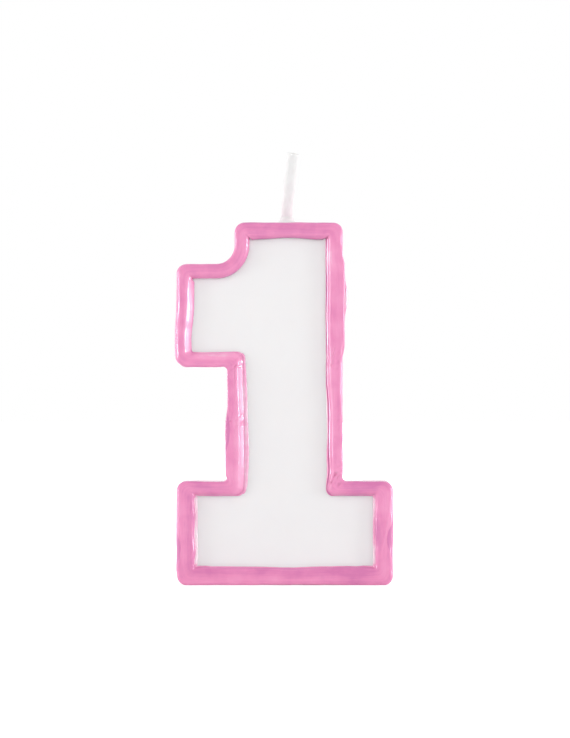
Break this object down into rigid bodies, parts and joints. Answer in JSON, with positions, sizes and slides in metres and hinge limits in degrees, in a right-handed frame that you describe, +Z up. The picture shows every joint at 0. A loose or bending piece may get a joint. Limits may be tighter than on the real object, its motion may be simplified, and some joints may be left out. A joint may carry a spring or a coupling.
{
  "type": "number birthday candle",
  "caption": "White wax candle in the shape of a figure one, with a raised pink wax rim on both faces and a waxed cotton wick at the top.",
  "frame": {"origin": "middle of the base, on the surface that the candle stands on", "axes": "+Z up, +X to the right as the figure is read, -Y out of the front face"},
  "size_m": [0.0418, 0.012, 0.0839],
  "materials": {
    "white_wax": "smooth cast white paraffin wax, satin",
    "pink_wax": "glossy pink wax laid on by hand, streaked and uneven",
    "clear_wax": "thin uncoloured wax over cotton, satin",
    "cotton": "twisted cotton yarn, matte"
  },
  "bodies": {
    "root": {"wax_body": "white_wax", "edge_band": "pink_wax", "front_bead": "pink_wax", "rear_bead": "pink_wax", "wick_collar": "clear_wax", "wick_coat": "clear_wax", "wick_ply_1": "cotton", "wick_ply_2": "cotton", "wick_ply_3": "cotton"}
  },
  "joints": []
}
